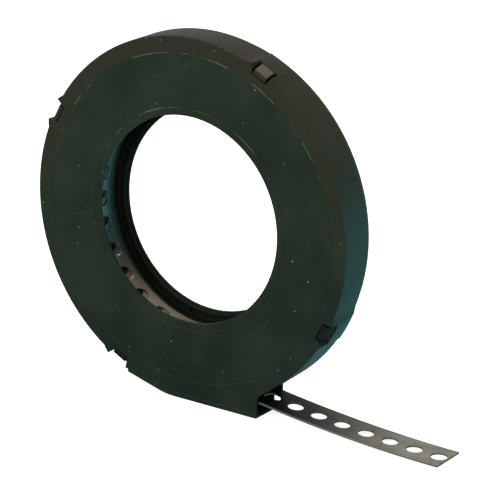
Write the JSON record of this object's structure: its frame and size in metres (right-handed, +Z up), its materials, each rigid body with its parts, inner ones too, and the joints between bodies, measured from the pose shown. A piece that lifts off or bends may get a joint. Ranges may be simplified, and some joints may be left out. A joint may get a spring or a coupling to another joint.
{
  "type": "perforated metal strap in a dispenser case",
  "caption": "Coil of perforated steel strap in a ring-shaped plastic dispenser case that stands on its chute foot, with the strap's free end run out of the mouth.",
  "frame": {"origin": "centre of the case bore, halfway between the front and back faces", "axes": "+Z up, +Y along the case axis from the front face to the back cover, +X the way the strap comes out of the mouth"},
  "size_m": [0.1911, 0.0194, 0.1496],
  "materials": {
    "case_front": "satin black injection-moulded polypropylene",
    "case_back": "satin black injection-moulded polypropylene",
    "strap": "dull zinc-coated steel, bright where it was cut"
  },
  "bodies": {
    "root": {"case_front": "case_front", "case_back": "case_back", "perforated_strap": "strap"}
  },
  "joints": []
}
